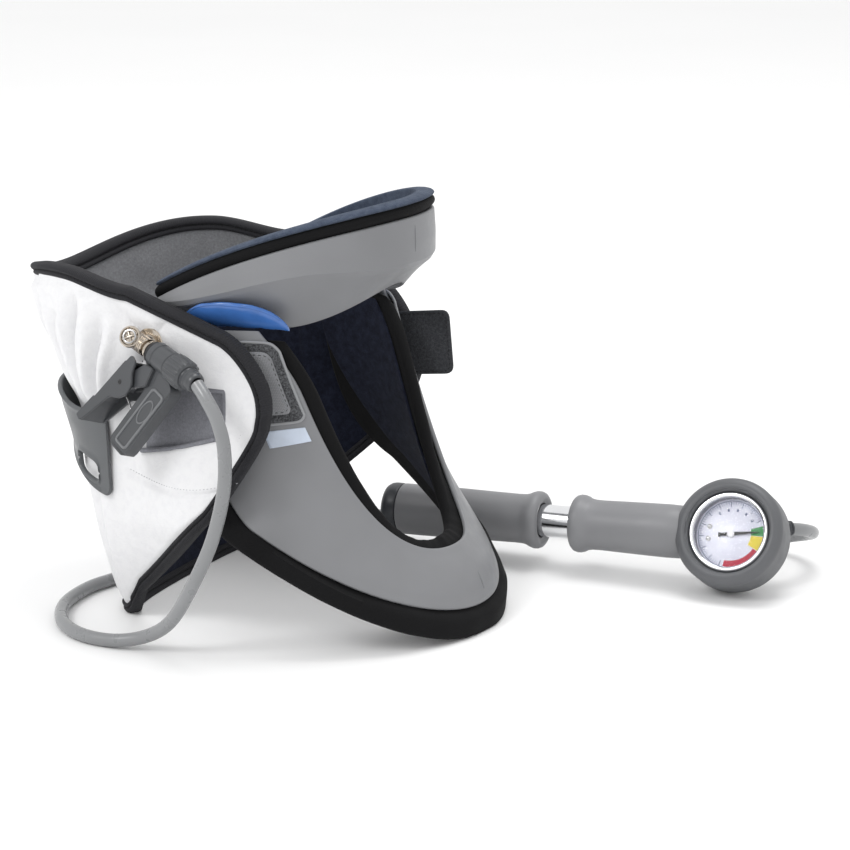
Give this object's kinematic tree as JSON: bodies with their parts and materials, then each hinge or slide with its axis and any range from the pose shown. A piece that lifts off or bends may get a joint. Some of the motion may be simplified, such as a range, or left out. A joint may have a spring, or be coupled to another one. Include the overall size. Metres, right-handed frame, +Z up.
{
  "type": "cervical traction device",
  "caption": "Air-lifted neck traction collar: moulded chin and breastbone halves, padded rear panel with air cells, and a hand pump with a pressure dial on a hose.",
  "frame": {"origin": "the wearer's neck axis at the surface that the collar stands on", "axes": "+X to the chin and breastbone, +Y to the side where the pump lies, +Z up along the neck"},
  "size_m": [0.3599, 0.2845, 0.209],
  "materials": {
    "shell_grey": "fine satin moulded plastic",
    "black_foam": "closed-cell foam, matt",
    "navy_lining": "brushed knit lining",
    "loop_fabric": "napped loop pile",
    "hook_fabric": "woven hook tape",
    "label_film": "blank satin film",
    "tab_fabric": "dark grey fastening tab",
    "cell_blue": "welded soft film",
    "white_cover": "soft white leatherette",
    "grey_velour": "short-pile velour",
    "black_binding": "folded elastic binding",
    "strap_grey": "flexible moulded plastic",
    "nickel": "nickel plated brass",
    "chuck_grey": "satin moulded plastic",
    "black_rubber": "moulded rubber",
    "spring_steel": "drawn steel",
    "hose_grey": "smooth soft hose",
    "black_plastic": "moulded plastic",
    "barrel_aluminium": "bright anodised tube",
    "grip_rubber": "smooth satin grip",
    "cap_grey": "moulded end cap",
    "boot_rubber": "satin moulded boot",
    "gauge_metal": "pressed case",
    "movement_brass": "brass movement",
    "dial_face": "printed dial",
    "needle_black": "black pointer",
    "bezel_chrome": "polished ring",
    "gauge_glass": "clear lens"
  },
  "bodies": {
    "lower_frame": {"sternum_shell": "shell_grey", "sternum_foam": "black_foam", "sternum_lining": "navy_lining", "loop_patches": "loop_fabric", "hook_patch": "hook_fabric", "blank_label": "label_film", "strap_tab": "tab_fabric", "side_air_cell_left": "cell_blue", "side_air_cell_right": "cell_blue", "rear_air_cell": "cell_blue", "rear_cover_lower": "white_cover", "nape_lining_lower": "grey_velour", "rear_binding_lower": "black_binding", "rear_strap": "strap_grey", "valve_stem": "nickel", "chuck_body": "chuck_grey", "chuck_gasket": "black_rubber", "lever_pin": "spring_steel", "lever_spring": "spring_steel", "hose_nut": "chuck_grey", "air_hose": "hose_grey", "hose_nipple": "black_plastic", "pump_barrel": "barrel_aluminium", "barrel_bush": "black_plastic", "barrel_plug": "black_plastic", "barrel_grip": "grip_rubber", "gauge_boot": "boot_rubber", "gauge_case": "gauge_metal", "gauge_movement": "movement_brass", "dial_plate": "dial_face", "dial_screws": "spring_steel", "gauge_bezel": "bezel_chrome", "gauge_lens": "gauge_glass"},
    "upper_frame": {"chin_shell": "shell_grey", "chin_foam": "black_foam", "chin_lining": "navy_lining", "rear_cover_upper": "white_cover", "nape_lining_upper": "grey_velour", "rear_binding_upper": "black_binding"},
    "pump_handle": {"handle_sleeve": "grip_rubber", "handle_cap": "cap_grey", "piston_rod": "spring_steel", "piston_head": "black_plastic", "piston_seal": "black_rubber"},
    "gauge_pointer": {"gauge_needle": "needle_black"},
    "chuck_lever": {"chuck_lever": "chuck_grey"},
    "valve_pin": {"valve_core": "nickel"}
  },
  "joints": [
    {"name": "traction_lift", "type": "slide", "parent": "lower_frame", "child": "upper_frame", "axis": [0, 0, 1], "range_m": [0, 0.04], "deforming": ["side_air_cell_left", "side_air_cell_right", "rear_air_cell"]},
    {"name": "pump_stroke", "type": "slide", "parent": "lower_frame", "child": "pump_handle", "axis": [-0.9966, -0.0697, -0.0436], "range_m": [-0.012, 0.06]},
    {"name": "gauge_needle_turn", "type": "hinge", "parent": "lower_frame", "child": "gauge_pointer", "pos_m": [0.211, 0.105, 0.028], "axis": [-0.0387, 0.8654, -0.4995], "range_deg": [0, 250], "stiffness_Nm_per_rad": 0.0000002},
    {"name": "chuck_squeeze", "type": "hinge", "parent": "lower_frame", "child": "chuck_lever", "pos_m": [-0.02074, -0.0875, 0.12554], "axis": [0.2695, 0.9043, -0.3311], "range_deg": [-14, 0], "stiffness_Nm_per_rad": 0.05},
    {"name": "valve_press", "type": "slide", "parent": "lower_frame", "child": "valve_pin", "axis": [0.8989, -0.3595, -0.2504], "range_m": [0, 0.0015], "stiffness_N_per_m": 300}
  ]
}
